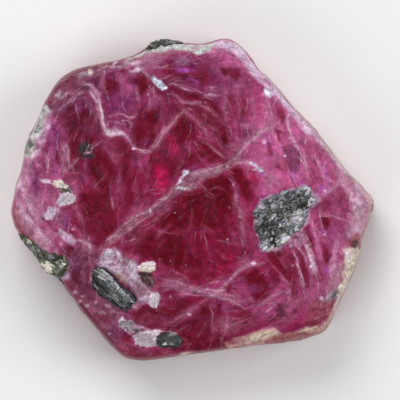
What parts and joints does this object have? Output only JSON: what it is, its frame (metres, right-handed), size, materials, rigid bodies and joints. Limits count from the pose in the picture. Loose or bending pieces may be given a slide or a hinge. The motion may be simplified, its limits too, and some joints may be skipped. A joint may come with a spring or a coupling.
{
  "type": "ruby slice",
  "caption": "Flat six-sided slice of natural ruby crystal: sawn back, ground and bevelled front, stepped natural walls, with dark mica and pale feldspar crystals grown into it",
  "frame": {"origin": "middle of the sawn back, at the centre of the slice's box", "axes": "+Z is the slice's thickness, out of its ground front; +X runs along its longest way across, through its sharpest corner"},
  "size_m": [0.0184, 0.0162, 0.0037],
  "materials": {
    "ruby": "gloss",
    "mica": "satin",
    "feldspar": "matte"
  },
  "bodies": {
    "root": {"ruby_slice": "ruby"}
  },
  "joints": []
}
